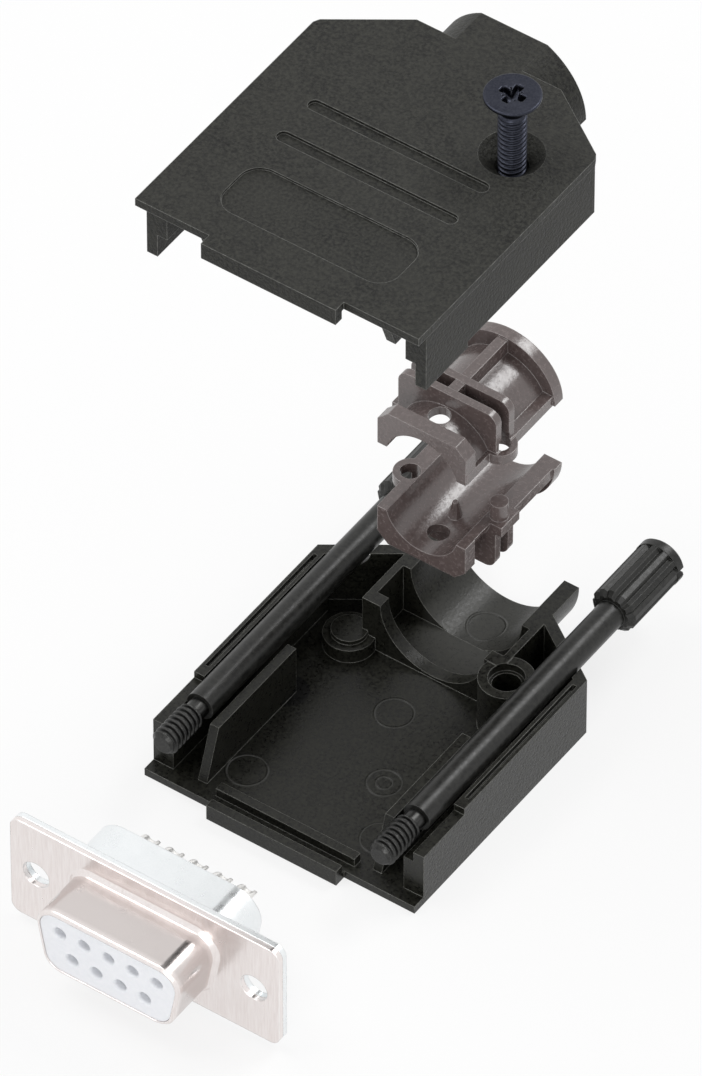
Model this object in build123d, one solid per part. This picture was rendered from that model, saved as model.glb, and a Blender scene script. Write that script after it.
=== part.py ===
from build123d import *
import math
import os

# Nine-way D-sub socket with its two-part plastic hood, two cable clamp halves, a cover screw and
# two long jackscrews, laid out apart as a kit, in millimetres. X runs across the flange, Y from
# the mating face to the cable exit and Z up. The origin lies on the surface under the base, at
# the middle of its front edge.

# Where the loose pieces float, measured from their seats
cover_lift = 62.5
screw_lift = 7.7
clamp_lower_lift = 16.0
clamp_upper_lift = 24.5
connector_pull = 21.5

# Connector, standard sizes of the nine-way shell
contact_pitch = 2.77
row_pitch = 2.84
long_row = 5
hole_spacing = 24.99
hole_inset = 2.91
flange_hole_radius = 1.525
flange_height = 12.55
flange_corner = 1.1
flange_sheet = 0.6
shroud_width = 16.33
shroud_height = 7.9
shroud_length = 6.0
shroud_sheet = 0.4
shroud_corner = 2.3
foot_bevel = 0.45
rear_foot_bevel = 0.2
shroud_lip = 0.25
d_angle = 10.0
rear_to_hole = 3.195
rear_height = 10.2
rear_corner = 3.0
rear_depth = 4.6
rear_sheet = 0.45
socket_hole_radius = 0.58
contact_radius = 0.5
cup_radius = 0.95
cup_bore = 0.65
cup_length = 3.5
cup_floor = 0.8
cup_open = 2.2
cup_cut = 0.23
contact_setback = 1.5
hole_sides = 12
contact_sides = 8
rear_proud = 0.15
insulator_gap = 0.03
insulator_recess = 0.12

# Hood halves
plate = 0.9
flange_play = 0.025
flange_side_play = 0.195
side_length = 28.6
shoulder_rise = 5.2
neck_radius = 8.1
neck_bore = 6.4
neck_end = 38.2
wall = 1.2
wall_setback = 1.5
seam = 0.05
corner_bevel = 0.4
cover_overhang = 0.2
step_length = 8.2
step_height = 0.8
seal_width = 0.45
seal_depth = 0.6
seal_start = 9.5
seal_play = 0.06
tongue_half = 7.5
tongue_reach = 1.3
ridge_height = 1.0
ridge_thickness = 1.0
rear_ridge_half = 8.0
flange_groove_play = 0.05
saddle_start = 25.3
ring_bore = 6.0
ring_thickness = 1.4
pocket_half = 7.3
pocket_length = 4.3
rib_inset = 2.395
rib_thickness = 1.0
rib_top = 0.4
rib_start = 1.6
rib_lean = 2.2
rib_end = 16.5
ledge_width = 1.1
ledge_height = 5.2
ledge_end = 27.0
boss_inset = 3.395
screw_y = 24.6
boss_radius = 2.8
boss_gap = 0.1
boss_counterbore = 1.8
boss_counterbore_depth = 0.9
boss_floor = 2.4
pillar_radius = 2.6
pillar_height = 1.6
pillar_step = 0.8
pillar_step_height = 0.5
panel_half = 9.7
panel_start = 3.5
panel_end = 10.2
panel_round = 2.2
panel_depth = 0.25
grip_half = 10.0
grip_width = 1.4
grip_first = 14.4
grip_pitch = 5.0
grip_count = 2
grip_depth = 0.35

# Cover screw
head_radius = 2.75
head_rim = 0.3
countersink_radius = 3.15
screw_radius = 1.4
screw_length = 10.3
screw_play = 0.05
screw_clear = 0.2
head_clear = 0.05
cross_width = 0.75
cross_length = 2.9
cross_depth = 1.3

# Jackscrews
shaft_radius = 1.5
shaft_play = 0.2
sleeve_start = 4.8
stud_radius = 1.42
stud_tip = -1.4
stud_hold = 7.0
stud_neck = 1.1
stud_neck_length = 1.2
stud_root_radius = 1.05
knob_start = 37.2
knob_length = 8.8
knob_radius = 2.5
knob_flutes = 12
flute_depth = 0.3
flute_share = 0.6
knob_chamfer = 0.5
knob_rim = 1.1
knob_lip = 0.05
knob_end_round = 0.25
slot_width = 1.0
slot_depth = 1.4

# Cable clamp halves, the same moulding twice
cable_radius = 4.1
cable_rise = 0.9
clamp_wall = 1.0
clamp_start = 23.4
clamp_length = 14.7
clamp_play = 0.1
block_half = 5.05
block_depth = 4.5
block_length = 1.6
block_chamfer = 1.2
fin_start = 4.2
fin_thickness = 0.85
fin_pitch = 2.13
fin_half = 5.6
fin_depth = 5.9
fin_round = 1.2
fin_tab = 1.0
ear_x = 5.1
ear_y = 5.55
ear_radius = 1.7
ear_thickness = 1.2
pin_radius = 0.9
pin_rise = 1.9
pin_play = 0.12
pad_half = 6.3
drain_radius = 1.1
drain_y = 2.9
tooth_radius = 0.75
tooth_tip = 0.3
tooth_height = 2.0
tooth_sides = 8
rail_outer = 5.75
rail_depth = 1.3
end_ring_radius = 6.0
end_ring_length = 1.3
top_rib_width = 1.1
top_rib_radius = 5.8
barrel_start = 0.2
barrel_bite = 0.3
rail_setback = 0.2
tab_rise = 0.3
tab_bite = 1.0
ear_pad_end = 6.75
pin_end_play = 0.2

# Worked out from the sizes above
half_height = flange_height / 2 + flange_play + plate
flange_width = hole_spacing + 2 * hole_inset
rear_width = hole_spacing - 2 * rear_to_hole
hood_width = flange_width + 2 * flange_side_play
half_width = hood_width / 2
screw_axis_x = hole_spacing / 2
screw_x = screw_axis_x - boss_inset
rib_offset = screw_axis_x - rib_inset
head_sink = countersink_radius - head_clear - head_radius - head_rim
shoulder_end = side_length + shoulder_rise
flange_thickness = 2 * flange_sheet
groove_front = -tongue_reach + ridge_thickness
flange_front = groove_front + flange_groove_play
flange_back = flange_front + flange_thickness
groove_back = flange_back + flange_groove_play
pocket_start = saddle_start + ring_thickness
pocket_end = pocket_start + pocket_length
pocket_floor = half_height - fin_depth - clamp_play
channel_radius = shaft_radius + shaft_play
knob_end = knob_start + knob_length
rear_end = flange_back + rear_depth
side_inner = half_width - wall
seam_groove_x = half_width - wall / 2

# Overlap of pieces that grow together, reach of a cut past a face, and a length beyond them all
bite = 0.1
past = 1.0
big = 100.0


def block(x0, x1, y0, y1, z0, z1):
    """Box between two opposite corners."""
    centre = ((x0 + x1) / 2, (y0 + y1) / 2, (z0 + z1) / 2)
    return Pos(*centre) * Box(abs(x1 - x0), abs(y1 - y0), abs(z1 - z0))


def upright(x, y, radius, z0, z1):
    """Cylinder along Z."""
    return Pos(x, y, (z0 + z1) / 2) * Cylinder(radius, z1 - z0)


def lengthwise(x, z, radius, y0, y1):
    """Cylinder along Y."""
    return Pos(x, (y0 + y1) / 2, z) * Rot(90, 0, 0) * Cylinder(radius, y1 - y0)


def turned(profile_points, x, z):
    """Solid of revolution about a line along Y. Points are (distance along Y, radius)."""
    section = Polyline(*[(radius, y) for y, radius in profile_points], close=True)
    return Pos(x, 0, z) * revolve(make_face(section), Axis.Y, 360)


def mirrored_pair(shape):
    """The shape and its image on the other side of the middle plane."""
    return shape + mirror(shape, about=Plane.YZ)


def hood_outline(grow=0.0):
    """Plan of one hood half without its neck, grown outwards on every side but the front."""
    side = half_width + grow
    slope = math.atan2(shoulder_rise, half_width - neck_radius)
    rear = side_length + grow * math.tan((math.pi / 2 - slope) / 2)
    top = shoulder_end + grow / math.cos(slope)
    points = [(-side, 0), (side, 0), (side, rear), (neck_radius, top), (-neck_radius, top), (-side, rear)]
    return make_face(Polyline(*points, close=True))


def plate_solid(grow, thickness):
    """Floor plate of a hood half, with the tongue that covers the edge of the flange."""
    corners = extrude(hood_outline(grow), thickness).edges().filter_by(Axis.Z)
    behind = corners.filter_by(lambda edge: edge.center().Y > wall)
    outer = behind.filter_by(lambda edge: abs(edge.center().X) > neck_radius + corner_bevel)
    body = chamfer(outer, corner_bevel)
    return body + block(-tongue_half, tongue_half, -tongue_reach, wall, 0, thickness)


def hood_half(grow, front_top, rear_top):
    """What both hood halves share, floor down. The side walls end at the two given heights."""
    outline = hood_outline()
    rim = extrude(outline, rear_top) - extrude(offset(outline, -wall, kind=Kind.INTERSECTION), big)
    rim -= block(-big, big, -big, wall_setback, 0, big)
    rim -= block(-big, big, -big, step_length, front_top, big)
    body = plate_solid(grow, plate) + rim

    # Neck barrel, flat where it meets the floor, and the saddle block inside
    barrel = lengthwise(0, half_height, neck_radius, shoulder_end - wall, neck_end)
    saddle = block(-neck_radius, neck_radius, saddle_start, shoulder_end, 0, rear_top)
    body += barrel & block(-big, big, -big, big, 0, rear_top)
    body += saddle

    # Ledge under each jackscrew and the rib beside it, whose front edge leans back
    ledge_x = side_inner - ledge_width
    ledge = block(ledge_x, side_inner + bite, wall_setback, ledge_end, plate / 2, ledge_height)
    body += mirrored_pair(ledge)
    rib_profile = Polyline(
        (rib_start, plate / 2),
        (rib_end, plate / 2),
        (rib_end, half_height - rib_top),
        (rib_start + rib_lean, half_height - rib_top),
        close=True,
    )
    rib = extrude(make_face(Plane.YZ * rib_profile), rib_thickness / 2, both=True)
    body += mirrored_pair(Pos(rib_offset, 0, 0) * rib)

    # Ridges before and behind the flange
    ridge_top = plate + ridge_height
    body += block(-tongue_half, tongue_half, -tongue_reach, groove_front, 0, ridge_top)
    rear_ridge_end = groove_back + ridge_thickness
    body += block(-rear_ridge_half, rear_ridge_half, groove_back, rear_ridge_end, plate / 2, ridge_top)

    # Boss of the cover screw
    boss_top = rear_top - boss_gap
    body += upright(screw_x, screw_y, boss_radius, 0, boss_top)

    # Bore, pocket and ring for the clamp, and the round notches of the jackscrews
    body -= lengthwise(0, half_height, neck_bore, pocket_end - bite, neck_end + past)
    body -= block(-pocket_half, pocket_half, pocket_start, pocket_end, pocket_floor, big)
    body -= lengthwise(0, half_height, ring_bore, saddle_start - past, pocket_start + bite)
    notch = lengthwise(screw_axis_x, half_height, channel_radius, wall_setback - past, knob_start)
    return body - mirrored_pair(notch)


def base_shell():
    body = hood_half(0.0, half_height - step_height, half_height)
    # Groove of the seam along both side walls
    groove_inner = seam_groove_x - seal_width / 2
    groove_outer = seam_groove_x + seal_width / 2
    groove_floor = half_height - seal_depth
    groove = block(groove_inner, groove_outer, seal_start, side_length - wall, groove_floor, big)
    body -= mirrored_pair(groove)
    # Blind bore that the screw bites into, with a counterbore for the lead of the cover's boss
    bore = screw_radius + screw_play
    body -= upright(screw_x, screw_y, bore, boss_floor, half_height)
    counterbore_floor = half_height - boss_gap - boss_counterbore_depth
    body -= upright(screw_x, screw_y, boss_counterbore, counterbore_floor, half_height)
    # Low stepped pillar on the other side
    step_top = plate + pillar_height
    body += upright(-screw_x, screw_y, pillar_radius, 0, step_top)
    return body + upright(-screw_x, screw_y, pillar_radius - pillar_step, 0, step_top + pillar_step_height)


def cover_shell():
    # Built floor down like the base, then turned over onto it
    rear_top = half_height - seam
    front_top = rear_top + step_height
    body = hood_half(cover_overhang, front_top, rear_top)
    # Tongue that stands in the seam groove of the base
    tongue_inner = seam_groove_x - seal_width / 2 + seal_play
    tongue_outer = seam_groove_x + seal_width / 2 - seal_play
    tongue_front = seal_start + seal_play
    tongue_back = side_length - wall - seal_play
    tongue_top = half_height + seal_depth - 2 * seal_play
    tongue = block(tongue_inner, tongue_outer, tongue_front, tongue_back, rear_top - bite, tongue_top)
    body += mirrored_pair(tongue)
    # The front part of each side wall reaches lower, into the step of the base
    front_wall = block(side_inner, half_width, wall_setback, step_length - seam, plate, front_top)
    body += mirrored_pair(front_wall)
    # Countersunk hole
    hole = screw_radius + screw_clear
    cone_depth = countersink_radius - hole
    body -= upright(screw_x, screw_y, hole, -past, big)
    body -= Pos(screw_x, screw_y, cone_depth / 2) * Cone(countersink_radius, hole, cone_depth)
    # Sunk panel and finger grooves on the outer face
    panel_width = 2 * panel_half
    panel_length = panel_end - panel_start
    panel = RectangleRounded(panel_width, panel_length, panel_round)
    body -= extrude(Pos(0, panel_start + panel_length / 2) * panel, panel_depth)
    for i in range(grip_count):
        slot = Pos(0, grip_first + i * grip_pitch) * SlotOverall(2 * grip_half, grip_width)
        body -= extrude(slot, grip_depth)
    return mirror(body, about=Plane.XY.offset(half_height))


def clamp_half():
    """Lower clamp half with its front face at the origin and its joint plane at Z = 0."""
    outer = cable_radius + clamp_wall
    top = -seam
    body = block(-block_half, block_half, 0, block_length, -block_depth, top)
    lower_edges = body.edges().filter_by(Axis.Y).group_by(Axis.Z)[0]
    body = chamfer(lower_edges, block_chamfer)
    body += lengthwise(0, cable_rise, outer, barrel_start, clamp_length)

    # Two fins that lock in the hood's pocket, with a small tab between them
    fin = RectangleRounded(2 * fin_half, 2 * fin_depth, fin_round)
    for i in range(2):
        y = fin_start + i * fin_pitch
        body += Pos(0, y, 0) * Rot(-90, 0, 0) * extrude(fin, fin_thickness)
    tab_bottom = tab_rise - fin_depth
    tab_top = tab_bite - block_depth
    body += block(-fin_tab / 2, fin_tab / 2, fin_start, fin_start + fin_pitch, tab_bottom, tab_top)

    # End ring, side rails and the rib along the bottom
    body += lengthwise(0, 0, end_ring_radius, clamp_length - end_ring_length, clamp_length)
    rail_end = clamp_length - rail_setback
    rail_inner = cable_radius - barrel_bite
    body += mirrored_pair(block(rail_inner, rail_outer, fin_start, rail_end, -rail_depth, 0))
    rib_half = top_rib_width / 2
    body += block(-rib_half, rib_half, fin_start, rail_end, -top_rib_radius, -cable_radius)

    # Ear for the other half's pin on one side, pad of its own pin on the other
    body += upright(-ear_x, ear_y, ear_radius, -ear_thickness, 0)
    body += block(-ear_x, -rail_inner, barrel_start, ear_pad_end, -ear_thickness, 0)
    fins_end = fin_start + fin_pitch + fin_thickness
    body += block(rail_inner, pad_half, fin_start, fins_end, -ear_thickness, 0)

    body &= block(-big, big, -big, big, -big, top)
    body -= lengthwise(0, cable_rise, cable_radius, -past, clamp_length + past)
    body -= upright(0, drain_y, drain_radius, -big, 0)
    pin_hole_end = -pin_rise - seam - pin_end_play
    body -= upright(-ear_x, ear_y, pin_radius + pin_play, pin_hole_end, past)
    body += upright(ear_x, ear_y, pin_radius, -ear_thickness, pin_rise)
    # Tooth that bites into the cable
    tooth_y = (fin_start + fins_end) / 2
    tooth_z = cable_rise - cable_radius - bite
    foot = Pos(0, tooth_y, tooth_z) * RegularPolygon(tooth_radius, tooth_sides)
    tip = Pos(0, tooth_y, tooth_z + tooth_height) * RegularPolygon(tooth_tip, tooth_sides)
    return body + loft([foot, tip], ruled=True)


def cover_screw():
    """Countersunk screw, head up, seated in the cover."""
    top = 2 * half_height - head_sink
    cone_depth = head_radius - screw_radius
    points = [
        (0, top),
        (head_radius, top),
        (head_radius, top - head_rim),
        (screw_radius, top - head_rim - cone_depth),
        (screw_radius, top - screw_length),
        (0, top - screw_length),
    ]
    body = revolve(make_face(Plane.XZ * Polyline(*points, close=True)), Axis.Z, 360)
    arm_length = cross_length / 2
    arm_width = cross_width / 2
    arm = block(-arm_length, arm_length, -arm_width, arm_width, top - cross_depth, top + past)
    return Pos(screw_x, screw_y, 0) * (body - arm - Rot(0, 0, 90) * arm)


def stud_root(x, start):
    """Six-sided root of the stud, which the sleeve is moulded round."""
    return sided_bar(x, half_height, stud_root_radius, 6, start, sleeve_start + stud_hold)


def knob_section(x, y, shrink):
    """Section of the knob at y, with a V groove between each two lands."""
    crest = knob_radius - shrink
    valley = crest - flute_depth * crest / knob_radius
    step = 2 * math.pi / knob_flutes
    land = step * (1 - flute_share)
    points = []
    for i in range(knob_flutes):
        for angle, radius in ((0, crest), (land, crest), ((land + step) / 2, valley)):
            points.append((radius * math.cos(i * step + angle), radius * math.sin(i * step + angle)))
    return Pos(x, y, half_height) * (Plane.XZ * make_face(Polyline(*points, close=True)))


def jackscrew_sleeve(side):
    """Moulded shaft with its grooved knob, closed round the root of the threaded stud."""
    x = side * screw_axis_x
    rim_start = knob_end - knob_rim
    body = lengthwise(x, half_height, shaft_radius, sleeve_start, knob_start + bite)
    grip_start = knob_start + knob_chamfer
    full = knob_section(x, grip_start, 0)
    body += loft([knob_section(x, knob_start, knob_chamfer), full], ruled=True)
    body += extrude(full, rim_start + bite - grip_start, dir=(0, 1, 0))
    body += turned(
        [
            (rim_start, 0),
            (rim_start, knob_radius + knob_lip),
            (knob_end - knob_end_round, knob_radius + knob_lip),
            (knob_end, knob_radius + knob_lip - knob_end_round),
            (knob_end, 0),
        ],
        x,
        half_height,
    )
    slot_floor = knob_end - slot_depth
    slot_low = half_height - slot_width / 2
    body -= block(x - big, x + big, slot_floor, knob_end + past, slot_low, slot_low + slot_width)
    return body - stud_root(x, sleeve_start - past)


def jackscrew_stud(side):
    """Threaded steel end, plain here, that is moulded into the sleeve."""
    x = side * screw_axis_x
    neck_start = sleeve_start - stud_neck_length
    body = turned(
        [
            (stud_tip, 0),
            (stud_tip, stud_radius),
            (neck_start, stud_radius),
            (neck_start, stud_neck),
            (sleeve_start, stud_neck),
            (sleeve_start, 0),
        ],
        x,
        half_height,
    )
    return body + stud_root(x, sleeve_start - bite)


def d_section(width, height, corner):
    """D-shaped face in the XZ plane, centred, with the wide side up. The width is over the corners."""
    lean = math.radians(d_angle)
    centre_x = width / 2 - corner
    top_x = centre_x + corner * (1 + math.sin(lean)) / math.cos(lean)
    bottom_x = centre_x + (corner - (height - corner) * math.sin(lean)) / math.cos(lean)
    points = [
        (-top_x, height / 2),
        (top_x, height / 2),
        (bottom_x, -height / 2),
        (-bottom_x, -height / 2),
    ]
    flat = make_face(Polyline(*points, close=True))
    return Plane.XZ * fillet(flat.vertices(), corner)


def d_prism(width, height, corner, y0, y1):
    """D-shaped prism between two Y values, on the connector's axis."""
    return Pos(0, y1, half_height) * extrude(d_section(width, height, corner), y1 - y0)


def flange_sheet_solid(y0):
    """One sheet of the flange with its two screw holes."""
    face = Plane.XZ * RectangleRounded(flange_width, flange_height, flange_corner)
    sheet = Pos(0, y0 + flange_sheet, half_height) * extrude(face, flange_sheet)
    hole = lengthwise(screw_axis_x, half_height, flange_hole_radius, y0 - past, y0 + flange_sheet + past)
    return sheet - mirrored_pair(hole)


def contact_places():
    """Contact axes as (x, z), the long row on top."""
    places = []
    for row, count in enumerate((long_row, long_row - 1)):
        z = half_height + row_pitch * (0.5 - row)
        for i in range(count):
            places.append(((i - (count - 1) / 2) * contact_pitch, z))
    return places


def sided_bar(x, z, radius, sides, y0, y1):
    """Bar along Y with flat sides, the form of the small contacts and of their holes."""
    face = Plane.XZ * RegularPolygon(radius, sides)
    return Pos(x, y1, z) * extrude(face, y1 - y0)


def drawn_foot(body, y, width, height, bevel):
    """Bevels the foot of a drawn form, where its outline meets the flange face at y."""
    edges = body.edges().filter_by_position(Axis.Y, y - bite, y + bite)
    near_x = edges.filter_by(lambda edge: abs(edge.center().X) < width / 2 + bite)
    near = near_x.filter_by(lambda edge: abs(edge.center().Z - half_height) < height / 2 + bite)
    return chamfer(near, bevel)


def front_shell():
    """Front steel shell: flange sheet drawn into the D-shaped shroud."""
    tip = flange_front - shroud_length
    shroud = d_prism(shroud_width, shroud_height, shroud_corner, tip, flange_front + flange_sheet / 2)
    shroud = chamfer(shroud.faces().sort_by(Axis.Y)[0].edges(), shroud_lip)
    sheet = flange_sheet_solid(flange_front) + shroud
    body = drawn_foot(sheet, flange_front, shroud_width, shroud_height, foot_bevel)
    inner_width = shroud_width - 2 * shroud_sheet
    inner_height = shroud_height - 2 * shroud_sheet
    return body - d_prism(inner_width, inner_height, shroud_corner - shroud_sheet, tip - past, flange_back)


def rear_shell():
    """Rear steel shell: flange sheet drawn backwards into a shallow pan, open at the back."""
    start = flange_front + flange_sheet
    pan = d_prism(rear_width, rear_height, rear_corner, start + flange_sheet / 2, rear_end)
    sheet = flange_sheet_solid(start) + pan
    body = drawn_foot(sheet, flange_back, rear_width, rear_height, rear_foot_bevel)
    return body - rear_cavity(0.0, start - past)


def rear_cavity(gap, start):
    """Room inside the rear shell, smaller all round by the gap."""
    width = rear_width - 2 * rear_sheet - 2 * gap
    height = rear_height - 2 * rear_sheet - 2 * gap
    return d_prism(width, height, rear_corner - rear_sheet - gap, start, rear_end + past)


def insulator_front():
    """White moulding that fills the shroud, with one hole for each contact."""
    gap = insulator_gap
    width = shroud_width - 2 * shroud_sheet - 2 * gap
    height = shroud_height - 2 * shroud_sheet - 2 * gap
    tip = flange_front - shroud_length + insulator_recess
    body = d_prism(width, height, shroud_corner - shroud_sheet - gap, tip, flange_front + flange_sheet)
    for x, z in contact_places():
        body -= sided_bar(x, z, socket_hole_radius, hole_sides, tip - past, flange_back)
    return body


def insulator_rear():
    """White moulding in the rear shell that carries the solder cups."""
    end = rear_end + rear_proud
    start = flange_front + flange_sheet + insulator_gap
    body = rear_cavity(insulator_gap, start) & block(-big, big, start, end, -big, big)
    for x, z in contact_places():
        body -= sided_bar(x, z, cup_radius, contact_sides, start - past, end + past)
    return body


def contact(x, z):
    """One socket contact: slim front end, thicker body with an open solder cup behind."""
    tip = flange_front - shroud_length + insulator_recess + contact_setback
    body_start = flange_front + flange_sheet + insulator_gap
    cup_end = rear_end + cup_length
    cup_outer = cup_radius - insulator_gap
    body = sided_bar(x, z, contact_radius, contact_sides, tip, body_start + bite)
    body += sided_bar(x, z, cup_outer, contact_sides, body_start, cup_end)
    body -= sided_bar(x, z, cup_bore, contact_sides, rear_end + cup_floor, cup_end + past)
    cup_side = 1 if z > half_height else -1
    cut_z = z + cup_side * cup_cut
    opened = block(x - past, x + past, cup_end - cup_open, cup_end + past, cut_z, cut_z + cup_side * past)
    return body - opened


def save(shape, name, offset_by):
    """Moves a piece from its seat to where it floats and writes it."""
    export_step(Pos(*offset_by) * shape, f"parts/{name}.step")


os.makedirs("parts", exist_ok=True)
seated = (0, 0, 0)
pulled = (0, -connector_pull, 0)

save(base_shell(), "base_shell", seated)
save(cover_shell(), "cover_shell", (0, 0, cover_lift))
save(cover_screw(), "cover_screw", (0, 0, cover_lift + screw_lift))

half = clamp_half()
save(Pos(0, clamp_start, half_height) * half, "clamp_lower", (0, 0, clamp_lower_lift))
turned_half = Rot(0, 180, 0) * half
save(Pos(0, clamp_start, half_height) * turned_half, "clamp_upper", (0, 0, clamp_upper_lift))

for side, hand in ((-1, "left"), (1, "right")):
    save(jackscrew_sleeve(side), f"jackscrew_{hand}_sleeve", seated)
    save(jackscrew_stud(side), f"jackscrew_{hand}_stud", seated)

save(front_shell(), "connector_front_shell", pulled)
save(rear_shell(), "connector_rear_shell", pulled)
save(insulator_front(), "insulator_front", pulled)
save(insulator_rear(), "insulator_rear", pulled)
for number, (x, z) in enumerate(contact_places(), start=1):
    save(contact(x, z), f"contact_{number}", pulled)
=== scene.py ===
import math

import bmesh
import bpy
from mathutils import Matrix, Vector


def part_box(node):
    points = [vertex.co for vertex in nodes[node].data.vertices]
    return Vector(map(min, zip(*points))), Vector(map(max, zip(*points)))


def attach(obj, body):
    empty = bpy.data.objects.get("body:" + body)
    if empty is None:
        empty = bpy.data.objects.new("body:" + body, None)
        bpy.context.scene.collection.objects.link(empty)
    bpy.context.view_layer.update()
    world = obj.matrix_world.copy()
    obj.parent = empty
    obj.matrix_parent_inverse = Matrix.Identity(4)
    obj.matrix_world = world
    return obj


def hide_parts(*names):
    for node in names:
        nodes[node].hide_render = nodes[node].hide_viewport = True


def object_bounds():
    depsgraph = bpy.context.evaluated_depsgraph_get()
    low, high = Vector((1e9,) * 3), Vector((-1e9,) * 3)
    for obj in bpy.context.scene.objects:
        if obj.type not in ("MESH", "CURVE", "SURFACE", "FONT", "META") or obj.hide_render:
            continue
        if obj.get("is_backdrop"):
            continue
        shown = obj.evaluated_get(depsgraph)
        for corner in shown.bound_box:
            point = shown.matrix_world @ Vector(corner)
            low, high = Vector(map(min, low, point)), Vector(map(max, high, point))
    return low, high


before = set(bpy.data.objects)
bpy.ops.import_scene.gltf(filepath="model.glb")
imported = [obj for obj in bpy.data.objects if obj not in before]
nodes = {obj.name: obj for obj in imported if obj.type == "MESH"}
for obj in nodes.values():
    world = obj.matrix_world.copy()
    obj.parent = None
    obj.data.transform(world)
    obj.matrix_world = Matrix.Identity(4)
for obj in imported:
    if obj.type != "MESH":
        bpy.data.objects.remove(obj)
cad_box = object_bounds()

MM = 0.001

# Camera at the photograph's angle, 1.5 m away with a long lens
AZIMUTH = math.radians(35.0)
ELEVATION = math.radians(46.0)
DISTANCE = 1.5
FRAME_HEIGHT = 101.0 * MM
SENSOR_HEIGHT = 24.0
CLIP_NEAR = 0.01
CLIP_FAR = 20.0
AIM = Vector((0.0, 15.0, 25.0)) * MM
AIM_LEFT = 1.8 * MM
AIM_UP = 2.7 * MM

# Light
LAMP_AIM = Vector((0.0, 15.0, 30.0)) * MM
WORLD_LIGHT = 0.55
WORLD_SEEN = 1.0
FLOOR_SIZE = 4.0
FLOOR_DROP = 0.05 * MM
FLOOR_COLOUR = (0.86, 0.86, 0.86, 1)
FLOOR_ROUGHNESS = 0.9
FLOOR_GLOW = 0.80
WHITE = (1, 1, 1, 1)

# Noise patterns as scale per millimetre, detail and roughness
CLOUDS = (0.22, 3.0, 0.55)
# Patches of edge wear that also carry the painted edge highlight
EDGE_WEAR_AND_HIGHLIGHT = (1.3, 3.0, 0.5)
STREAKS = (6.0, 2.0, 0.6)
MOTTLE = (0.6, 4.0, 0.6)
GRAIN_DETAIL = 3.0
GRAIN_ROUGHNESS = 0.6

# Parts of a noise's range that a ramp spans, and the most that each pattern shows
MIDDLE_SPAN = (0.3, 0.7)
GRAIN_SPAN = (0.38, 0.66)
EDGE_WEAR_AND_HIGHLIGHT_SPAN = (0.3, 0.6)
MOTTLE_SPAN = (0.35, 0.75)
CLOUD_SHARE = 0.35
MOTTLE_SHARE = 0.4
# Edge lightening, partly wear and partly a painted highlight
LEAST_EDGE_WEAR_AND_HIGHLIGHT = 0.45
STEEL_EDGE_HIGHLIGHT_SHARE = 0.7
EDGE_SPAN = (0.02, 0.25)
BEVEL_SAMPLES = 6

# Directions in which the streaks of a plated piece run
ALONG_Y = (1, 0.2, 1)
ALONG_Z = (1, 1, 0.08)
EVERY_WAY = (1, 1, 1)

# Ejector rings inside the base in millimetres: centre, radius and the height above which none shows
EJECTOR_RINGS = (
    ((-7.5, 5.4), 2.0, 1.2),
    ((8.0, 5.4), 2.0, 1.2),
    ((4.1, 11.5), 1.7, 1.2),
    ((4.1, 11.5), 0.8, 1.2),
    ((-0.3, 19.5), 1.9, 1.2),
    ((0.4, 33.9), 1.9, 3.2),
)
RING_LINE = (0.02, 0.17)
RING_SHARE = 0.45
RING_TONE = (0.09, 0.09, 0.085)
RING_HEIGHT = 4.0
MARK_FADE = 0.1

# Smooth dark pad on the base's floor, paler neck and coarser outer walls, in millimetres
PAD_CENTRE = (-10.3, 16.1)
PAD_RADIUS = 2.1
PAD_EDGE = 0.05
PAD_TOP = 1.2
PAD_SHARE = 0.9
PAD_TONE = (0.002, 0.002, 0.002)
NECK_START = (26.0, 30.0)
NECK_SIDE = (4.2, 5.2)
NECK_SHARE = 0.45
NECK_TONE = (0.055, 0.055, 0.05)
OUTSIDE_DARK = (0.0040, 0.0040, 0.0035)
OUTSIDE_LIGHT = (0.0335, 0.0335, 0.0285)
OUTSIDE_GRAIN_GAIN = 1.9
OUTSIDE_SKIN = 0.05
OUTER_WALL_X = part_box("base_shell")[1][0] / MM - OUTSIDE_SKIN

# Painted dark reflection on the shroud's walls, from its lip to its foot at the flange's face
SHROUD_LENGTH = 6.0
LIP_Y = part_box("connector_front_shell")[0][1] / MM
FOOT_Y = LIP_Y + SHROUD_LENGTH
REFLECTION_START = (LIP_Y + 0.3, LIP_Y + 0.9)
REFLECTION_END = (FOOT_Y - 1.1, FOOT_Y - 0.5)
REFLECTION_TONE = (0.655, 0.605, 0.59)

# Threads in millimetres, with the flats of crest and root as shares of the pitch
CREST_SHARE = 0.22
ROOT_SHARE = 0.25
ROWS_PER_TURN = 14
TIP_UNDERCUT = 0.12

# Jackscrew studs
STUD_PITCH = 0.635
STUD_THREAD_DEPTH = 0.36
STUD_LEADS = (0.5, 0.3)
STUD_NECK_LENGTH = 1.2
STUD_NECK_RADIUS = 1.06
STUD_NECK_STEP = 0.05
STUD_ROOT_RADIUS = 0.88
STUD_SEGMENTS = 72

# Cover screw
SCREW_PITCH = 0.60
SCREW_THREAD_DEPTH = 0.26
SCREW_LEADS = (0.6, 0.4)
SCREW_SHANK = 1.38
SCREW_NECK_RADIUS = 1.22
SCREW_THREAD_GAP = 0.5
HEAD_RIM = 0.3
HEAD_FACE_INSET = 0.14
SCREW_SEGMENTS = 144
FACE_STEPS = 52

# Recess in the screw's head: four arms, a core and a small tick between each two arms
ARM_TIP = 1.12
ARM_HALF = 0.36
ARM_FLARE = 0.07
TIP_SHOULDER = 0.2
TIP_ROUNDING = 0.8
TIP_OVERRUN = 0.22
CORE_RADIUS = 0.55
TICK_HALF = 0.09
TICK_SLOPE = 0.7
TICK_REACH = 0.98
TICK_SHARE = 0.6
RECESS_WALL = 0.10
RECESS_DEPTH = 0.75
RECESS_MIDDLE_DEPTH = 0.55
RECESS_CONE_RADIUS = 1.3

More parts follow.
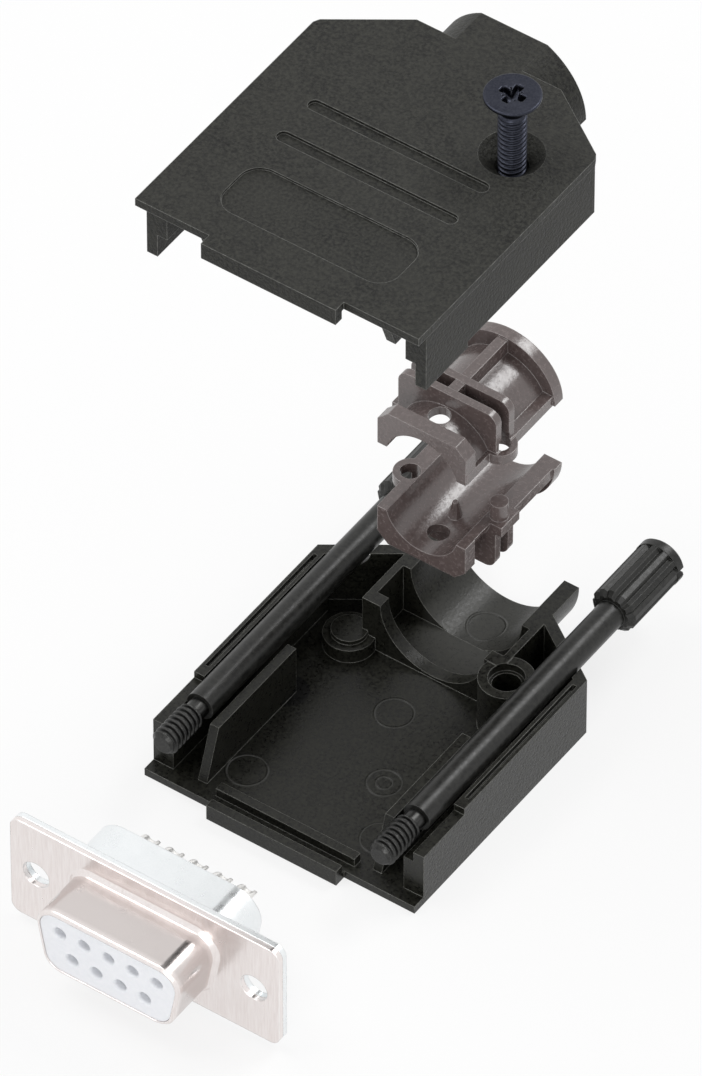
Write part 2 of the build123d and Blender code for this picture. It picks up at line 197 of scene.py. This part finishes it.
# Socket holes as (depth behind the face, radius), wider at the mouth
HOLE_PROFILE = ((-0.3, 0.86), (0.0, 0.80), (0.05, 0.74), (0.14, 0.67), (0.30, 0.625), (3.0, 0.62))
HOLE_SEGMENTS = 40

# Contacts in millimetres, the first five of them in the upper row
CONTACT_NUMBERS = range(1, 10)
UPPER_ROW = 5
SLIM_RADIUS = 0.50
CUP_BORE = 0.56
SCOOP_LENGTH = 1.5
SCOOP_TOP = 0.95
SCOOP_SPAN = 1.35
CONTACT_SEGMENTS = 32


def direction(azimuth, elevation):
    """Unit vector from the object towards a camera or lamp."""
    level = math.cos(elevation)
    return Vector((math.sin(azimuth) * level, -math.cos(azimuth) * level, math.sin(elevation)))


def photograph_camera():
    toward = direction(AZIMUTH, ELEVATION)
    right = Vector((math.cos(AZIMUTH), math.sin(AZIMUTH), 0.0))
    up = toward.cross(right)
    data = bpy.data.cameras.new("camera")
    data.sensor_fit = "VERTICAL"
    data.sensor_height = SENSOR_HEIGHT
    data.lens = SENSOR_HEIGHT * DISTANCE / FRAME_HEIGHT
    data.clip_start = CLIP_NEAR
    data.clip_end = CLIP_FAR
    camera = bpy.data.objects.new("camera", data)
    camera.location = AIM - right * AIM_LEFT + up * AIM_UP + toward * DISTANCE
    camera.rotation_euler = toward.to_track_quat("Z", "Y").to_euler()
    bpy.context.collection.objects.link(camera)
    bpy.context.scene.camera = camera


photograph_camera()
bpy.context.scene.view_settings.view_transform = "Standard"


class Shade:
    """A node material in the making, with coordinates in millimetres."""

    def __init__(self, name):
        self.material = bpy.data.materials.new(name)
        self.material.use_nodes = True
        self.tree = self.material.node_tree
        self.shader = self.tree.nodes["Principled BSDF"]
        self.coordinates = self.add("ShaderNodeTexCoord").outputs["Object"]

    def add(self, kind, **values):
        node = self.tree.nodes.new(kind)
        for key, value in values.items():
            setattr(node, key, value)
        return node

    def link(self, source, target):
        self.tree.links.new(source, target)

    def set(self, **values):
        for key, value in values.items():
            self.shader.inputs[key.replace("_", " ")].default_value = value

    def stretched(self, x, y, z):
        """Coordinates in millimetres times the given factors."""
        mapping = self.add("ShaderNodeMapping")
        mapping.inputs["Scale"].default_value = (x / MM, y / MM, z / MM)
        self.link(self.coordinates, mapping.inputs["Vector"])
        return mapping.outputs["Vector"]

    def place(self):
        """X, Y and Z in millimetres."""
        split = self.add("ShaderNodeSeparateXYZ")
        self.link(self.stretched(1, 1, 1), split.inputs[0])
        return split.outputs

    def noise(self, scale, detail, roughness, stretch=EVERY_WAY):
        node = self.add("ShaderNodeTexNoise")
        node.inputs["Scale"].default_value = scale
        node.inputs["Detail"].default_value = detail
        node.inputs["Roughness"].default_value = roughness
        self.link(self.stretched(*stretch), node.inputs["Vector"])
        return node.outputs["Fac"]

    def ramp(self, value, low, high, start=0.0, end=1.0):
        node = self.add("ShaderNodeMapRange")
        node.clamp = True
        node.inputs["From Min"].default_value = low
        node.inputs["From Max"].default_value = high
        node.inputs["To Min"].default_value = start
        node.inputs["To Max"].default_value = end
        self.link(value, node.inputs["Value"])
        return node.outputs["Result"]

    def fall(self, value, low, high):
        """1 up to the low value, 0 from the high one."""
        return self.ramp(value, low, high, 1.0, 0.0)

    def math(self, operation, a, b=0.0):
        node = self.add("ShaderNodeMath", operation=operation)
        for socket, value in zip(node.inputs, (a, b)):
            if isinstance(value, (int, float)):
                socket.default_value = value
            else:
                self.link(value, socket)
        return node.outputs["Value"]

    def times(self, a, b):
        return self.math("MULTIPLY", a, b)

    def mix(self, factor, a, b):
        node = self.add("ShaderNodeMix", data_type="RGBA", blend_type="MIX")
        self.link(factor, node.inputs["Factor"])
        for socket, value in ((node.inputs[6], a), (node.inputs[7], b)):
            if isinstance(value, tuple):
                socket.default_value = (*value, 1.0)
            else:
                self.link(value, socket)
        return node.outputs[2]

    def rounded(self, radius):
        """Normal that rounds every edge by a radius in millimetres."""
        node = self.add("ShaderNodeBevel", samples=BEVEL_SAMPLES)
        node.inputs["Radius"].default_value = radius * MM
        return node.outputs["Normal"]

    def edges(self, radius):
        """1 on edges, 0 on flats."""
        dot = self.add("ShaderNodeVectorMath", operation="DOT_PRODUCT")
        geometry = self.add("ShaderNodeNewGeometry")
        self.link(self.rounded(radius), dot.inputs[0])
        self.link(geometry.outputs["Normal"], dot.inputs[1])
        return self.ramp(self.math("SUBTRACT", 1.0, dot.outputs["Value"]), *EDGE_SPAN)

    def bump(self, height, depth, normal):
        """Bump of the given depth in millimetres on top of a normal."""
        node = self.add("ShaderNodeBump")
        node.inputs["Strength"].default_value = 1.0
        node.inputs["Distance"].default_value = depth * MM
        self.link(height, node.inputs["Height"])
        self.link(normal, node.inputs["Normal"])
        return node.outputs["Normal"]

    def finished(self, colour, roughness, normal):
        """The material, with the three sockets linked to its shader."""
        self.link(colour, self.shader.inputs["Base Color"])
        self.link(roughness, self.shader.inputs["Roughness"])
        self.link(normal, self.shader.inputs["Normal"])
        return self.material


def moulded(
    name, dark, light, edge, rough, grain_depth, grain_scale, edge_round, edge_highlight_share,
    specular=0.5, detail=None,
):
    """Moulded plastic with a fine spark-eroded grain, flow clouds and edges painted paler as a highlight,
    in patches of wear.
    """
    s = Shade(name)
    s.set(Specular_IOR_Level=specular, IOR=1.5)
    grain = s.noise(grain_scale, GRAIN_DETAIL, GRAIN_ROUGHNESS)
    tone = s.mix(s.ramp(grain, *GRAIN_SPAN), dark, light)
    clouds = s.ramp(s.noise(*CLOUDS), *MIDDLE_SPAN, 0.0, CLOUD_SHARE)
    tone = s.mix(clouds, tone, light)
    height = grain
    if detail:
        tone, height = detail(s, tone, height)
    # Edges painted paler as a highlight, laid on in patches of wear
    wear_and_highlight_patches = s.ramp(s.noise(*EDGE_WEAR_AND_HIGHLIGHT), *EDGE_WEAR_AND_HIGHLIGHT_SPAN, LEAST_EDGE_WEAR_AND_HIGHLIGHT, 1.0)
    highlit_and_worn_edges = s.times(s.times(s.edges(edge_round), edge_highlight_share), wear_and_highlight_patches)
    roughness = s.ramp(grain, *MIDDLE_SPAN, *rough)
    normal = s.bump(height, grain_depth, s.rounded(edge_round))
    return s.finished(s.mix(highlit_and_worn_edges, tone, edge), roughness, normal)


def away_from(s, x, y, centre):
    """Distance from a line along Z through the centre."""
    dx = s.math("SUBTRACT", x, centre[0])
    dy = s.math("SUBTRACT", y, centre[1])
    return s.math("SQRT", s.math("ADD", s.times(dx, dx), s.times(dy, dy)))


def ejector_rings(s, x, y, z):
    """1 on the thin raised rings inside the base, 0 elsewhere."""
    rings = 0.0
    for centre, radius, top in EJECTOR_RINGS:
        away = s.math("ABSOLUTE", s.math("SUBTRACT", away_from(s, x, y, centre), radius))
        line = s.times(s.fall(away, *RING_LINE), s.fall(z, top, top + MARK_FADE))
        rings = s.math("MAXIMUM", rings, line)
    return rings


def base_details(s, tone, height):
    """Coarser outer walls, paler neck, smooth dark pad and ejector rings."""
    x, y, z = s.place()
    side = s.math("ABSOLUTE", x)

    outside = s.ramp(side, OUTER_WALL_X - MARK_FADE, OUTER_WALL_X)
    coarse = s.mix(s.ramp(height, *GRAIN_SPAN), OUTSIDE_DARK, OUTSIDE_LIGHT)
    tone = s.mix(outside, tone, coarse)
    height = s.times(height, s.math("ADD", s.times(outside, OUTSIDE_GRAIN_GAIN), 1.0))

    neck = s.times(s.ramp(y, *NECK_START), s.fall(side, *NECK_SIDE))
    tone = s.mix(s.times(neck, NECK_SHARE), tone, NECK_TONE)

    disc = s.fall(away_from(s, x, y, PAD_CENTRE), PAD_RADIUS - PAD_EDGE, PAD_RADIUS + PAD_EDGE)
    pad = s.times(disc, s.fall(z, PAD_TOP, PAD_TOP + MARK_FADE))
    tone = s.mix(s.times(pad, PAD_SHARE), tone, PAD_TONE)

    rings = ejector_rings(s, x, y, z)
    tone = s.mix(s.times(rings, RING_SHARE), tone, RING_TONE)
    return tone, s.math("ADD", height, s.times(rings, RING_HEIGHT))


# The edge colours of these plastics are painted highlights
hood_outside = moulded(
    "hood_outside",
    dark=OUTSIDE_DARK,
    light=OUTSIDE_LIGHT,
    edge=(0.34, 0.34, 0.32),
    rough=(0.38, 0.58),
    grain_depth=0.15,
    grain_scale=3.0,
    edge_round=0.15,
    edge_highlight_share=0.85,
    specular=0.20,
)
hood_inside = moulded(
    "hood_inside",
    dark=(0.003, 0.003, 0.0023),
    light=(0.019, 0.019, 0.0145),
    edge=(0.34, 0.34, 0.31),
    rough=(0.24, 0.42),
    grain_depth=0.026,
    grain_scale=3.0,
    edge_round=0.13,
    edge_highlight_share=0.8,
    specular=0.27,
    detail=base_details,
)
jackscrew_black = moulded(
    "jackscrew_black",
    dark=(0.004, 0.004, 0.0035),
    light=(0.018, 0.018, 0.016),
    edge=(0.16, 0.16, 0.15),
    rough=(0.28, 0.42),
    grain_depth=0.014,
    grain_scale=2.2,
    edge_round=0.10,
    edge_highlight_share=0.5,
    specular=0.36,
)
clamp_brown = moulded(
    "clamp_brown",
    dark=(0.084, 0.062, 0.058),
    light=(0.128, 0.098, 0.094),
    edge=(0.62, 0.56, 0.55),
    rough=(0.15, 0.32),
    grain_depth=0.018,
    grain_scale=2.4,
    edge_round=0.13,
    edge_highlight_share=0.75,
    specular=0.90,
)
insulator_white = moulded(
    "insulator_white",
    dark=(0.86, 0.875, 0.91),
    light=(0.90, 0.91, 0.94),
    edge=(0.95, 0.95, 0.96),
    rough=(0.38, 0.50),
    grain_depth=0.004,
    grain_scale=2.0,
    edge_round=0.08,
    edge_highlight_share=0.5,
)


def shroud_painted_reflection(s, tone):
    """Painted dark reflection: the shroud's walls greyer between a bright lip and a bright foot."""
    y = s.place()["Y"]
    wall = s.times(s.ramp(y, *REFLECTION_START), s.fall(y, *REFLECTION_END))
    return s.mix(wall, tone, REFLECTION_TONE)


def plated(name, low, high, edge, rough, streak, depth, edge_round=0.14, walls=None):
    """Plated metal with faint streaks, a soft mottle, edges painted bright as a highlight and, where
    given, a painted dark reflection.
    """
    s = Shade(name)
    s.set(Metallic=1.0)
    streaks = s.noise(*STREAKS, streak)
    mottle = s.noise(*MOTTLE)
    tone = s.mix(s.ramp(streaks, *MIDDLE_SPAN), low, high)
    tone = s.mix(s.ramp(mottle, *MOTTLE_SPAN, 0.0, MOTTLE_SHARE), tone, high)
    # Painted dark reflection on the plating's tone, where one is given
    if walls:
        tone = walls(s, tone)
    # Edges painted bright as a highlight
    colour = s.mix(s.times(s.edges(edge_round), STEEL_EDGE_HIGHLIGHT_SHARE), tone, edge)
    roughness = s.ramp(mottle, *MIDDLE_SPAN, *rough)
    return s.finished(colour, roughness, s.bump(streaks, depth, s.rounded(edge_round)))


# The edge colours of these metals are painted highlights
tin_plate = plated(
    "tin_plate",
    low=(0.80, 0.735, 0.715),
    high=(0.87, 0.82, 0.805),
    edge=(0.98, 0.97, 0.96),
    rough=(0.17, 0.28),
    streak=ALONG_Z,
    depth=0.002,
    edge_round=0.20,
    walls=shroud_painted_reflection,
)
rear_plate = plated(
    "rear_plate",
    low=(0.82, 0.85, 0.86),
    high=(0.88, 0.90, 0.91),
    edge=(0.97, 0.97, 0.97),
    rough=(0.24, 0.36),
    streak=ALONG_Z,
    depth=0.002,
)
stud_black = plated(
    "stud_black",
    low=(0.028, 0.028, 0.028),
    high=(0.06, 0.06, 0.058),
    edge=(0.30, 0.30, 0.29),
    rough=(0.28, 0.42),
    streak=ALONG_Y,
    depth=0.003,
)
screw_blue = plated(
    "screw_blue",
    low=(0.022, 0.024, 0.034),
    high=(0.045, 0.048, 0.062),
    edge=(0.16, 0.17, 0.20),
    rough=(0.30, 0.45),
    streak=EVERY_WAY,
    depth=0.004,
)
contact_tin = plated(
    "contact_tin",
    low=(0.90, 0.89, 0.87),
    high=(0.95, 0.94, 0.92),
    edge=(0.97, 0.97, 0.96),
    rough=(0.42, 0.52),
    streak=ALONG_Y,
    depth=0.002,
)


def dress(material, *names):
    """Gives CAD pieces a material."""
    for name in names:
        for place in nodes[name].material_slots:
            place.material = material


dress(hood_inside, "base_shell")
dress(hood_outside, "cover_shell")
dress(clamp_brown, "clamp_lower", "clamp_upper")
dress(jackscrew_black, "jackscrew_left_sleeve", "jackscrew_right_sleeve")
dress(tin_plate, "connector_front_shell")
dress(rear_plate, "connector_rear_shell")
dress(insulator_white, "insulator_front", "insulator_rear")
dress(contact_tin, *[f"contact_{number}" for number in CONTACT_NUMBERS])


def constant(value):
    """The same value at every angle."""
    return lambda angle: value


def eased(share):
    """Smooth step from 0 to 1."""
    share = min(1.0, max(0.0, share))
    return share * share * (3 - 2 * share)


def ring(axis, centre, along, radius, segments):
    """Points in millimetres round a line along Y or Z. Place and radius depend on the angle."""
    points = []
    for i in range(segments):
        angle = 2 * math.pi * i / segments
        first = centre[0] + radius(angle) * math.cos(angle)
        second = centre[1] + radius(angle) * math.sin(angle)
        if axis == "Y":
            points.append((first, along(angle), second))
        else:
            points.append((first, second, along(angle)))
    return points


def add_tube(bm, rings):
    """Closed skin through rings of points in millimetres, capped at both ends."""
    loops = []
    for points in rings:
        loops.append([bm.verts.new([value * MM for value in point]) for point in points])
    for one, two in zip(loops, loops[1:]):
        for i in range(len(one)):
            j = (i + 1) % len(one)
            bm.faces.new((one[i], one[j], two[j], two[i]))
    bm.faces.new(loops[0])
    bm.faces.new(loops[-1])


def finished_mesh(bm, name, smooth):
    """Mesh of the skins, with their normals outwards and the given faces smooth."""
    bmesh.ops.recalc_face_normals(bm, faces=bm.faces)
    for face in smooth:
        face.smooth = True
    mesh = bpy.data.meshes.new(name)
    bm.to_mesh(mesh)
    bm.free()
    return mesh


def stand_in(name, mesh, material, body, node):
    """Puts a mesh in the place of a CAD piece."""
    mesh.materials.append(material)
    piece = bpy.data.objects.new(name, mesh)
    bpy.context.collection.objects.link(piece)
    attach(piece, body)
    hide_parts(node)


def round_piece(node):
    """Centre (x, z), radius, and first and last Y of a piece along Y, in millimetres."""
    low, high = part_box(node)
    centre = ((low[0] + high[0]) / 2 / MM, (low[2] + high[2]) / 2 / MM)
    radius = (high[0] - low[0]) / 2 / MM
    return centre, radius, low[1] / MM, high[1] / MM


def thread_radius(distance, pitch, outer, inner, limit):
    """Radius of a rounded V thread at a distance along its axis, no more than the limit."""
    def radius(angle):
        phase = (distance / pitch - angle / (2 * math.pi)) % 1.0
        flank = abs(phase - 0.5) * 2
        share = eased((flank - ROOT_SHARE) / (1 - CREST_SHARE - ROOT_SHARE))
        return min(inner + (outer - inner) * share, limit)
    return radius


def threaded_rows(start, end, pitch, outer, depth, leads):
    """Rows of a thread, as (distance, radius), whose two ends taper over the leads."""
    inner = outer - depth
    count = int(round((end - start) / pitch * ROWS_PER_TURN))
    rows = []
    for i in range(count + 1):
        distance = start + (end - start) * i / count
        first = inner - TIP_UNDERCUT + (depth + TIP_UNDERCUT) * (distance - start) / leads[0]
        last = inner + depth * (end - distance) / leads[1]
        limit = min(outer, first, last)
        rows.append((distance, thread_radius(distance, pitch, outer, inner, limit)))
    return rows


def jackscrew_stud(hand):
    """Threaded stud with its plain neck and the root inside the sleeve."""
    node = f"jackscrew_{hand}_stud"
    centre, outer, start, end = round_piece(node)
    neck_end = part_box(f"jackscrew_{hand}_sleeve")[0][1] / MM
    neck_start = neck_end - STUD_NECK_LENGTH
    rows = threaded_rows(start, neck_start, STUD_PITCH, outer, STUD_THREAD_DEPTH, STUD_LEADS)
    rows.append((neck_start + STUD_NECK_STEP, constant(STUD_NECK_RADIUS)))
    rows.append((neck_end, constant(STUD_NECK_RADIUS)))
    rows.append((end, constant(STUD_ROOT_RADIUS)))
    bm = bmesh.new()
    add_tube(bm, [ring("Y", centre, constant(y), radius, STUD_SEGMENTS) for y, radius in rows])
    sides = [face for face in bm.faces if len(face.verts) == 4]
    mesh = finished_mesh(bm, f"thread_{hand}", sides)
    stand_in(f"thread_{hand}", mesh, stud_black, f"jackscrew_{hand}", node)


jackscrew_stud("left")
jackscrew_stud("right")


def recess_depth(x, y):
    """Depth of the recess below the head's face, in millimetres."""
    away = math.hypot(x, y)
    tick = min(TICK_HALF - abs(abs(x) - abs(y)) * TICK_SLOPE, TICK_REACH - away)
    inside = max(CORE_RADIUS - away, tick * TICK_SHARE)
    for along, across in ((x, y), (-x, y), (y, x), (-y, x)):
        if along >= 0:
            half = ARM_HALF + ARM_FLARE * along
            reach = ARM_TIP - max(0.0, abs(across) - half + TIP_SHOULDER) * TIP_ROUNDING
            inside = max(inside, min(half - abs(across), reach + TIP_OVERRUN - along))
    if inside <= 0:
        return 0.0
    deepest = RECESS_DEPTH + RECESS_MIDDLE_DEPTH * max(0.0, 1 - away / RECESS_CONE_RADIUS)
    return min(1.0, inside / RECESS_WALL) * deepest


def sunk_face(top, radius):
    """Height of the head's face round a circle, as a function of the angle."""
    def height(angle):
        return top - recess_depth(radius * math.cos(angle), radius * math.sin(angle))
    return height


def cover_screw():
    """Countersunk screw with a rounded thread and the recess sunk in its head."""
    node = "cover_screw"
    low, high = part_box(node)
    centre = ((low[0] + high[0]) / 2 / MM, (low[1] + high[1]) / 2 / MM)
    bottom = low[2] / MM
    top = high[2] / MM
    head = (high[0] - low[0]) / 2 / MM
    face = head - HEAD_FACE_INSET
    under = top - HEAD_RIM - (head - SCREW_SHANK)
    thread_end = under - SCREW_THREAD_GAP
    rows = threaded_rows(bottom, thread_end, SCREW_PITCH, SCREW_SHANK, SCREW_THREAD_DEPTH, SCREW_LEADS)
    plain = (
        (thread_end + 0.05, SCREW_NECK_RADIUS),
        (under, SCREW_NECK_RADIUS + 0.03),
        (top - 0.34, head - 0.03),
        (top - 0.28, head),
        (top - 0.10, head),
        (top - 0.03, head - 0.05),
        (top, face),
    )
    rows += [(z, constant(radius)) for z, radius in plain]
    rings = [ring("Z", centre, constant(z), radius, SCREW_SEGMENTS) for z, radius in rows]
    for step in range(1, FACE_STEPS):
        radius = face * (1 - step / FACE_STEPS)
        rings.append(ring("Z", centre, sunk_face(top, radius), constant(radius), SCREW_SEGMENTS))
    bm = bmesh.new()
    add_tube(bm, rings)
    mesh = finished_mesh(bm, "screw", bm.faces)
    stand_in("screw_head_and_thread", mesh, screw_blue, node, node)


cover_screw()


def round_hole_cutter(face_y):
    """One closed turned plug for each contact's hole."""
    bm = bmesh.new()
    for number in CONTACT_NUMBERS:
        centre = round_piece(f"contact_{number}")[0]
        rings = []
        for depth, radius in HOLE_PROFILE:
            rings.append(ring("Y", centre, constant(face_y + depth), constant(radius), HOLE_SEGMENTS))
        add_tube(bm, rings)
    cutter = bpy.data.objects.new("hole_cutter", finished_mesh(bm, "hole_cutter", ()))
    bpy.context.collection.objects.link(cutter)
    return cutter


def insulator_with_round_holes():
    """The front moulding again, with round holes whose mouths are softened."""
    node = "insulator_front"
    blank = bpy.data.objects.new("insulator_blank", nodes[node].data.copy())
    bpy.context.collection.objects.link(blank)
    cutter = round_hole_cutter(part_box(node)[0][1] / MM)
    cut = blank.modifiers.new("holes", "BOOLEAN")
    cut.operation = "DIFFERENCE"
    cut.solver = "EXACT"
    cut.object = cutter
    bpy.context.view_layer.update()
    shaped = blank.evaluated_get(bpy.context.evaluated_depsgraph_get())
    mesh = bpy.data.meshes.new_from_object(shaped)
    bpy.data.objects.remove(blank)
    bpy.data.objects.remove(cutter)
    mesh.materials.clear()
    stand_in("insulator_face", mesh, insulator_white, "connector", node)


insulator_with_round_holes()


def scooped_end(full, end, upper, inset):
    """Where a solder cup's wall stops along Y: early on the open side, late on the other."""
    def along(angle):
        rise = math.sin(angle) if upper else -math.sin(angle)
        return full + (end - full) * eased((SCOOP_TOP - rise) / SCOOP_SPAN) - inset
    return along


def scooped_contact(number, upper):
    """Socket contact: slim front end, thicker body and a solder cup open to its row's outer side."""
    node = f"contact_{number}"
    centre, cup, start, end = round_piece(node)
    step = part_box("insulator_rear")[0][1] / MM
    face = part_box("insulator_rear")[1][1] / MM
    full = end - SCOOP_LENGTH
    body = (
        (start + 0.12, 0.20),
        (start, 0.32),
        (start + 0.06, 0.44),
        (start + 0.20, SLIM_RADIUS),
        (step, SLIM_RADIUS),
        (step + 0.05, cup - 0.05),
        (step + 0.15, cup),
        (face, cup),
    )
    rim = (
        (0.08, cup),
        (0.02, cup - 0.04),
        (0.0, (cup + CUP_BORE) / 2),
        (0.02, CUP_BORE + 0.04),
        (0.08, CUP_BORE),
    )
    bottom = (
        (full - 0.25, CUP_BORE),
        (full - 0.45, CUP_BORE * 0.55),
    )
    rows = [(constant(y), radius) for y, radius in body]
    rows += [(scooped_end(full, end, upper, inset), radius) for inset, radius in rim]
    rows += [(constant(y), radius) for y, radius in bottom]
    bm = bmesh.new()
    add_tube(bm, [ring("Y", centre, along, constant(radius), CONTACT_SEGMENTS) for along, radius in rows])
    mesh = finished_mesh(bm, "contact", bm.faces)
    stand_in(f"scooped_contact_{number}", mesh, contact_tin, "connector", node)


for contact_number in CONTACT_NUMBERS:
    scooped_contact(contact_number, contact_number <= UPPER_ROW)


def seen_rays(tree):
    """1 for camera, glossy and transmission rays, 0 for the rest."""
    path = tree.nodes.new("ShaderNodeLightPath")
    seen = path.outputs["Is Camera Ray"]
    for name in ("Is Glossy Ray", "Is Transmission Ray"):
        either = tree.nodes.new("ShaderNodeMath")
        either.operation = "MAXIMUM"
        tree.links.new(seen, either.inputs[0])
        tree.links.new(path.outputs[name], either.inputs[1])
        seen = either.outputs[0]
    return seen


def pale_floor():
    """Plain floor that keeps the object's shadow and is seen nearly white."""
    bpy.ops.mesh.primitive_plane_add(size=FLOOR_SIZE, location=(0, 0, cad_box[0][2] - FLOOR_DROP))
    floor = bpy.context.object
    floor.name = "floor"
    material = bpy.data.materials.new("floor_white")
    material.use_nodes = True
    tree = material.node_tree
    shader = tree.nodes["Principled BSDF"]
    shader.inputs["Base Color"].default_value = FLOOR_COLOUR
    shader.inputs["Roughness"].default_value = FLOOR_ROUGHNESS
    shader.inputs["Specular IOR Level"].default_value = 0.0
    glow = tree.nodes.new("ShaderNodeEmission")
    glow.inputs["Color"].default_value = WHITE
    share = tree.nodes.new("ShaderNodeMath")
    share.operation = "MULTIPLY"
    share.inputs[1].default_value = FLOOR_GLOW
    mix = tree.nodes.new("ShaderNodeMixShader")
    tree.links.new(seen_rays(tree), share.inputs[0])
    tree.links.new(share.outputs[0], mix.inputs[0])
    tree.links.new(shader.outputs[0], mix.inputs[1])
    tree.links.new(glow.outputs[0], mix.inputs[2])
    tree.links.new(mix.outputs[0], tree.nodes["Material Output"].inputs["Surface"])
    floor.data.materials.append(material)
    floor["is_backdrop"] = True


def studio_world():
    """White surroundings, at full strength where they are seen and weaker as light."""
    world = bpy.data.worlds.new("studio")
    bpy.context.scene.world = world
    world.use_nodes = True
    tree = world.node_tree
    background = tree.nodes["Background"]
    background.inputs["Color"].default_value = WHITE
    level = tree.nodes.new("ShaderNodeMapRange")
    level.inputs["To Min"].default_value = WORLD_LIGHT
    level.inputs["To Max"].default_value = WORLD_SEEN
    tree.links.new(seen_rays(tree), level.inputs["Value"])
    tree.links.new(level.outputs["Result"], background.inputs["Strength"])


def softbox(name, azimuth, elevation, distance, width, height, watts):
    """Area lamp that looks at the object, its angles in degrees."""
    away = direction(math.radians(azimuth), math.radians(elevation))
    data = bpy.data.lights.new(name, "AREA")
    data.shape = "RECTANGLE"
    data.size = width
    data.size_y = height
    data.energy = watts
    lamp = bpy.data.objects.new(name, data)
    lamp.location = LAMP_AIM + away * distance
    lamp.rotation_euler = away.to_track_quat("Z", "Y").to_euler()
    bpy.context.collection.objects.link(lamp)


pale_floor()
studio_world()
softbox("key", azimuth=-70, elevation=62, distance=0.6, width=0.35, height=0.35, watts=1.2)
softbox("back", azimuth=158, elevation=52, distance=0.6, width=0.26, height=0.18, watts=1.15)
softbox("front", azimuth=20, elevation=22, distance=0.9, width=0.5, height=0.5, watts=1.9)
softbox("fill", azimuth=80, elevation=35, distance=0.9, width=0.4, height=0.4, watts=0.15)


def plain(box):
    """Corners of a box as plain lists."""
    return [list(corner) for corner in box]


{"cad": plain(cad_box), "visual": plain(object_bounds())}
